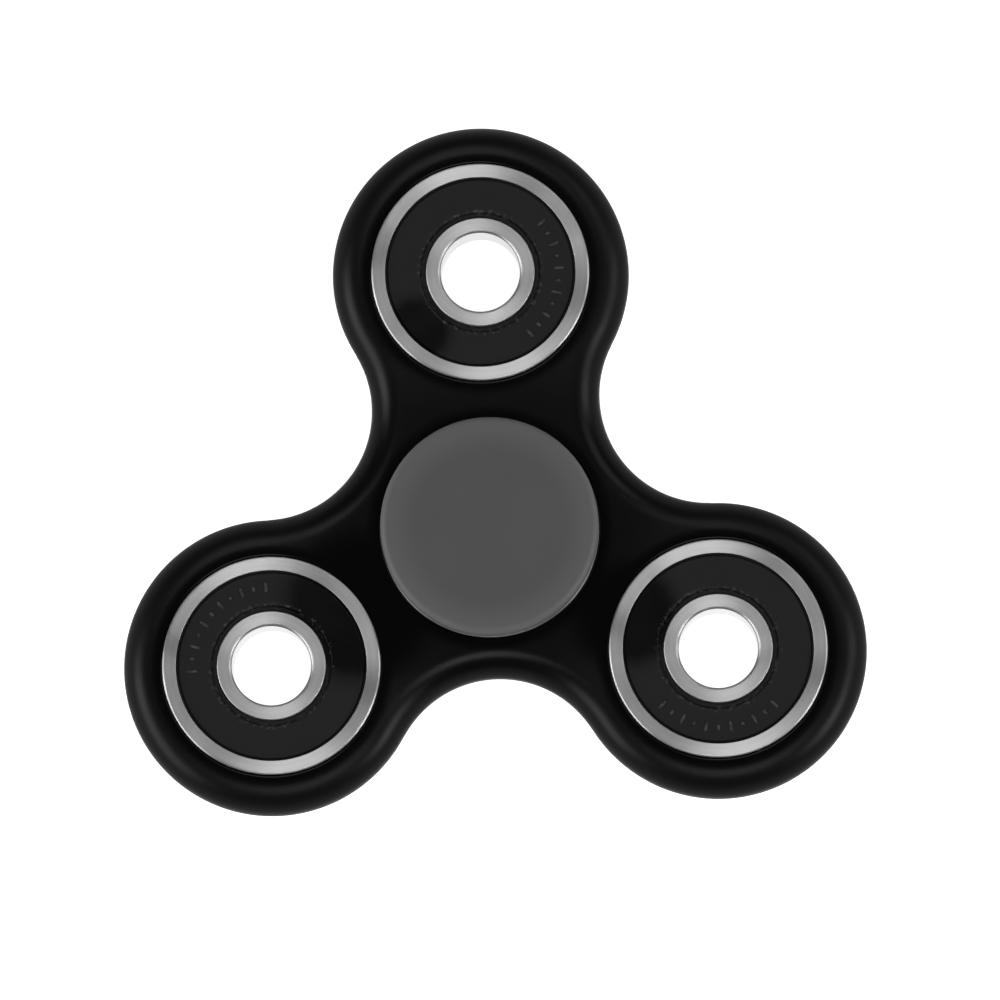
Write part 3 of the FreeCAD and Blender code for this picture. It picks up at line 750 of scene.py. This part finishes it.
def seal_rubber():
    material, tree, output = start_material("nitrile_rubber")
    place = add(tree, "TexCoord").outputs["Object"]
    skin = add(tree, "TexNoise", {"Vector": place, "Scale": per_metre(0.14 * MM), "Detail": 3.0})
    bloom = add(tree, "TexNoise", {"Vector": place, "Scale": per_metre(4 * MM), "Detail": 4.0,
                                   "Roughness": 0.65})
    base = add(tree, "Mix", {"Factor": bloom.outputs["Fac"], 6: linear("#0c0c0c"), 7: linear("#131313")},
               data_type="RGBA")
    unshaded = outside_shade_patches(tree, place)
    # Painted shade: inside the patches the seal is painted nearly black.
    patch_shaded = add(tree, "Mix", {"Factor": unshaded, 6: linear("#020202"), 7: base.outputs[2]}, data_type="RGBA")
    height = add(tree, "SeparateXYZ", {"Vector": place}).outputs["Z"]
    offset = add(tree, "Math", {0: height, 1: MIDDLE}, operation="SUBTRACT")
    off_middle = add(tree, "Math", {0: offset.outputs["Value"]}, operation="ABSOLUTE")
    # Painted highlight: the tops of the moulded dashes are painted paler, in flecks.
    proud = add(tree, "MapRange", {"Value": off_middle.outputs["Value"], "From Min": SEAL_FACE + 0.03 * MM,
                                   "From Max": SEAL_FACE + DASH_HEIGHT}, **SOFTLY)
    nearest = plan_distance(tree, place, CENTRES["lobe_1"])
    for lobe in LOBES[1:]:
        away = plan_distance(tree, place, CENTRES[lobe])
        nearest = add(tree, "Math", {0: nearest, 1: away}, operation="MINIMUM").outputs["Value"]
    lip_in = add(tree, "MapRange",
                 {"Value": nearest, "From Min": LIP_INSIDE[0], "From Max": LIP_INSIDE[1]}, **SOFTLY)
    lip_out = add(tree, "MapRange",
                  {"Value": nearest, "From Min": LIP_OUTSIDE[0], "From Max": LIP_OUTSIDE[1]}, **SOFTLY)
    lip = add(tree, "Math", {0: lip_in.outputs["Result"], 1: lip_out.outputs["Result"]},
              operation="MULTIPLY")
    fleck = add(tree, "TexNoise", {"Vector": place, "Scale": per_metre(0.4 * MM), "Detail": 3.0})
    scuff = add(tree, "MapRange", {"Value": fleck.outputs["Fac"], "From Min": 0.5, "From Max": 0.72},
                **SOFTLY)
    scuffed = add(tree, "Math", {0: lip.outputs["Value"], 1: scuff.outputs["Result"]}, operation="MULTIPLY")
    dash_highlight_flecks = add(tree, "MapRange", {"Value": fleck.outputs["Fac"], "From Min": 0.3, "From Max": 0.6,
                                 "To Min": 0.25}, **SOFTLY)
    dash_top_highlight = add(tree, "Math", {0: proud.outputs["Result"], 1: dash_highlight_flecks.outputs["Result"]},
                     operation="MULTIPLY")
    scuff_and_highlight = add(tree, "Math", {0: scuffed.outputs["Value"], 1: dash_top_highlight.outputs["Value"]},
               operation="MAXIMUM")
    # 3c3c3c serves both the scuffed lip and the painted highlight on the dash tops.
    colour = add(tree, "Mix", {"Factor": scuff_and_highlight.outputs["Value"], 6: patch_shaded.outputs[2], 7: linear("#3c3c3c")},
                 data_type="RGBA")
    patchy = add(tree, "MapRange", {"Value": bloom.outputs["Fac"], "From Min": 0.3, "From Max": 0.7,
                                    "To Min": 0.5, "To Max": 0.6}, **SOFTLY)
    # The painted shade patches are also made glossier.
    patch_gloss = add(tree, "MapRange", {"Value": unshaded, "To Min": 0.4})
    rough = add(tree, "Math", {0: patch_gloss.outputs["Result"], 1: patchy.outputs["Result"]}, operation="MULTIPLY")
    bump = add(tree, "Bump", {"Height": skin.outputs["Fac"], "Strength": 0.25, "Distance": 0.02 * MM})
    shader = add(tree, "BsdfPrincipled", {
        "Base Color": colour.outputs[2], "Roughness": rough.outputs["Value"], "IOR": 1.52,
        "Specular IOR Level": 0.2, "Normal": bump.outputs["Normal"]})
    tree.links.new(shader.outputs["BSDF"], output.inputs["Surface"])
    return material


# %% [markdown]
# ### The sealed pieces
#
# Balls, cages and seal washers are shut inside the bearings, but someone who takes the model apart will
# see them, so they get their own finishes: lapped chrome steel for the balls, natural nylon for the
# cages, and rolled steel sheet with a faint grain in one direction for the washers.

# %% Mix the finishes of the sealed pieces
def lapped_steel():
    material, tree, output = start_material("lapped_ball_steel")
    place = add(tree, "TexCoord").outputs["Object"]
    film = add(tree, "TexNoise", {"Vector": place, "Scale": per_metre(1.5 * MM), "Detail": 3.0})
    gloss = add(tree, "MapRange", {"Value": film.outputs["Fac"], "To Min": 0.05, "To Max": 0.14})
    colour = add(tree, "Mix", {"Factor": film.outputs["Fac"], 6: linear("#c4c4c6"), 7: linear("#d0d0d1")},
                 data_type="RGBA")
    shader = add(tree, "BsdfPrincipled", {"Base Color": colour.outputs[2], "Metallic": 1.0,
                                          "Roughness": gloss.outputs["Result"]})
    tree.links.new(shader.outputs["BSDF"], output.inputs["Surface"])
    return material


def natural_nylon():
    material, tree, output = start_material("natural_nylon")
    place = add(tree, "TexCoord").outputs["Object"]
    cloud = add(tree, "TexNoise", {"Vector": place, "Scale": per_metre(2 * MM), "Detail": 3.0})
    colour = add(tree, "Mix", {"Factor": cloud.outputs["Fac"], 6: linear("#d6cdb6"), 7: linear("#e2dac6")},
                 data_type="RGBA")
    bump = add(tree, "Bump", {"Height": cloud.outputs["Fac"], "Strength": 0.2, "Distance": 0.05 * MM})
    shader = add(tree, "BsdfPrincipled", {"Base Color": colour.outputs[2], "Roughness": 0.42, "IOR": 1.53,
                                          "Normal": bump.outputs["Normal"]})
    tree.links.new(shader.outputs["BSDF"], output.inputs["Surface"])
    return material


def rolled_steel():
    material, tree, output = start_material("rolled_steel_sheet")
    place = add(tree, "TexCoord").outputs["Object"]
    drawn = add(tree, "Mapping", {"Vector": place, "Scale": (0.05, 1.0, 1.0)})
    grain = add(tree, "TexNoise", {"Vector": drawn.outputs["Vector"], "Scale": per_metre(0.1 * MM),
                                   "Detail": 2.0})
    colour = add(tree, "Mix", {"Factor": grain.outputs["Fac"], 6: linear("#9c9c9e"), 7: linear("#b0b0b1")},
                 data_type="RGBA")
    shader = add(tree, "BsdfPrincipled", {"Base Color": colour.outputs[2], "Metallic": 1.0,
                                          "Roughness": 0.38})
    tree.links.new(shader.outputs["BSDF"], output.inputs["Surface"])
    return material


# %% [markdown]
# ## Put every piece on its body
#
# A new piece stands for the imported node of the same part: the node is hidden, and the piece rides on the
# body that moves it.  The caps and the middle inner ring stay still in the hand, the frame turns with
# its outer rings and seals, and each lobe's inner ring is free to turn by itself.

# %% Dress the pieces and attach them
BODY_OF = {node: body for body, nodes in frame["record"]["behaviour"]["bodies"].items() for node in nodes}
SLOT_OF = {part["node"]: part["material_slot"] for part in frame["record"]["subparts"]}


def stand_in(piece, node, material):
    """Give a piece its material, hide the node it stands for, and let it ride on that node's body."""
    piece.data.materials.append(material)
    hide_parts(node)
    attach(piece, BODY_OF[node])


stand_in(moulded_frame, "spinner_frame", black_abs())
cap_finish = grey_abs()
for node, piece in caps.items():
    stand_in(piece, node, cap_finish)
# Roughness and anisotropy of the ground faces.
FACE_FINISH = {"outer": (0.37, 0.9), "inner": (0.42, 0.7)}
for name in BEARINGS:
    for kind, (roughness, streak) in FACE_FINISH.items():
        node = f"{name}_{kind}_ring"
        steel = ground_steel(node + "_ground_steel", CENTRES[name], roughness, streak)
        stand_in(rings[node], node, steel)
rubber = seal_rubber()
for node, piece in seals.items():
    stand_in(piece, node, rubber)
for node, piece in marks.items():
    piece.data.materials.append(rubber)
    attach(piece, BODY_OF[node])

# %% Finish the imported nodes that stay
SEALED = {"ball_steel": lapped_steel(), "cage_nylon": natural_nylon(), "washer_steel": rolled_steel()}
kept = 0
for node, piece in frame["nodes"].items():
    finish = SEALED.get(SLOT_OF[node])
    if finish:
        piece.data.materials.clear()
        piece.data.materials.append(finish)
        kept += 1
print(kept, "packed nodes keep their shape and get a finish")

# %% [markdown]
# ## Floor, light and camera
#
# The spinner lies on a light table: a plain pale top, lit from below through a louvre film, which lets
# light out only in a narrow cone.  Seen from above the table is clean white, right through the bores, and
# yet it throws little glare on the sides of the black plastic.
#
# Round it stands a soft white tent that is bright at its foot and dim overhead.  Four panels low at its
# sides draw the long highlights on the rounded edges, a fifth stands higher behind the right side, and two
# high ones, near and far, light the bright sectors of the ground steel.

# %% Lay the table
FLOOR_SIZE = 1.7
FLOOR_DROP = 0.3 * MM
FLOOR_POINTS = 9


def pale_table():
    material, tree, output = start_material("pale_table")
    place = add(tree, "TexCoord").outputs["Object"]
    mottle = add(tree, "TexNoise", {"Vector": place, "Scale": per_metre(40 * MM), "Detail": 3.0})
    colour = add(tree, "Mix", {"Factor": mottle.outputs["Fac"], 6: linear("#cacaca"), 7: linear("#cfcfcf")},
                 data_type="RGBA")
    shader = add(tree, "BsdfPrincipled", {"Base Color": colour.outputs[2], "Roughness": 0.9,
                                          "Specular IOR Level": 0.1})
    tree.links.new(shader.outputs["BSDF"], output.inputs["Surface"])
    return material


edge = np.linspace(-FLOOR_SIZE / 2, FLOOR_SIZE / 2, FLOOR_POINTS)
floor_x, floor_y = np.meshgrid(edge, edge)
floor_grid = np.stack([floor_x, floor_y, 0 * floor_x - FLOOR_DROP], axis=-1)
floor_mesh = bpy.data.meshes.new("table")
floor_faces = grid_faces(FLOOR_POINTS, FLOOR_POINTS, False, False)
floor_mesh.from_pydata(floor_grid.reshape(-1, 3), [], floor_faces)
table = bpy.data.objects.new("table", floor_mesh)
scene.collection.objects.link(table)
table.data.materials.append(pale_table())

# %% Hang the lights
PANEL_DISTANCE = 1.0
TABLE_LIGHT = 1.2
LOUVRE_CONE = 50


def panel(name, azimuth, elevation, size, radiance):
    """A soft rectangular light aimed at the spinner; its power is radiance * pi * area."""
    data = bpy.data.lights.new(name, "AREA")
    data.shape = "RECTANGLE"
    data.size, data.size_y = size
    data.energy = radiance * math.pi * size[0] * size[1]
    light = bpy.data.objects.new(name, data)
    a, e = math.radians(azimuth), math.radians(elevation)
    way = np.array([math.cos(a) * math.cos(e), math.sin(a) * math.cos(e), math.sin(e)])
    light.location = way * PANEL_DISTANCE
    light.rotation_euler = (math.pi / 2 - e, 0, a + math.pi / 2)
    light.visible_camera = False
    scene.collection.objects.link(light)


def louvred_glow(radiance, spread):
    """A light under the spinner that shines up in a cone of this angle, with this radiance at its middle."""
    half = math.radians(spread) / 2
    data = bpy.data.lights.new("light_table", "AREA")
    data.size = FLOOR_SIZE
    data.spread = 2 * half
    data.energy = radiance * math.pi * data.size ** 2 * (math.tan(half) - half) / math.tan(half)
    light = bpy.data.objects.new("light_table", data)
    light.location = (0, 0, -FLOOR_DROP / 2)
    light.rotation_euler = (math.pi, 0, 0)
    light.visible_camera = True
    scene.collection.objects.link(light)


louvred_glow(TABLE_LIGHT, LOUVRE_CONE)
WALL_GLOW = 0.5
CEILING_GLOW = 0.12
world = bpy.data.worlds.new("tent")
world.use_nodes = True
sky = world.node_tree
way = add(sky, "SeparateXYZ", {"Vector": add(sky, "TexCoord").outputs["Generated"]})
glow = add(sky, "MapRange", {"Value": way.outputs["Z"], "From Min": 0.08, "From Max": 0.3,
                             "To Min": WALL_GLOW, "To Max": CEILING_GLOW}, **SOFTLY)
sky.links.new(glow.outputs["Result"], sky.nodes["Background"].inputs["Strength"])
sky.nodes["Background"].inputs["Color"].default_value = (1.0, 1.0, 1.0, 1.0)
scene.world = world

# Azimuth and elevation in degrees, width and height in metres, radiance.
panel("right_panel", 332, 31, (0.38, 0.36), 7.4)
panel("left_panel", 203, 27, (0.75, 0.5), 4.4)
panel("far_right_panel", 4, 27, (0.3, 0.5), 3.4)
panel("far_left_panel", 177, 27, (0.28, 0.5), 3.6)
panel("corner_panel", 40, 45, (0.5, 0.4), 1.4)
panel("near_top_panel", 281, 68, (0.42, 0.36), 3.3)
panel("far_top_panel", 100, 62, (0.42, 0.45), 2.3)

# %% [markdown]
# The camera looks almost straight down from over a metre away, a little from the near side, with the
# first lobe turned slightly to the left.  A long lens keeps the three lobes the same size.

# %% Set up the camera
AZIMUTH = math.radians(8.2)
ELEVATION = math.radians(84.6)
ROLL = math.radians(-10.4)
DISTANCE = 1.2
FIELD = 100.75 * MM
SENSOR = 36.0
AIM_RIGHT = 1.02 * MM
AIM_UP = 2.85 * MM

upright = mathutils.Euler((math.pi / 2 - ELEVATION, 0, AZIMUTH)).to_matrix()
turned_camera = upright @ mathutils.Matrix.Rotation(ROLL, 3, "Z")
heading = AZIMUTH + ROLL
right = np.array([math.cos(heading), math.sin(heading), 0])
forward = np.array([-math.sin(heading), math.cos(heading), 0])
aim = right * AIM_RIGHT + forward * AIM_UP + np.array([0, 0, MIDDLE + HALF_WIDTH])
camera_data = bpy.data.cameras.new("camera")
camera_data.lens = SENSOR * DISTANCE / FIELD
camera_data.sensor_width = SENSOR
camera_data.clip_start = 0.01
camera = bpy.data.objects.new("camera", camera_data)
camera.location = aim + np.array(turned_camera.col[2]) * DISTANCE
camera.rotation_euler = turned_camera.to_euler()
scene.collection.objects.link(camera)
scene.camera = camera
print(f"lens {camera_data.lens:.0f} mm, {DISTANCE} m away")
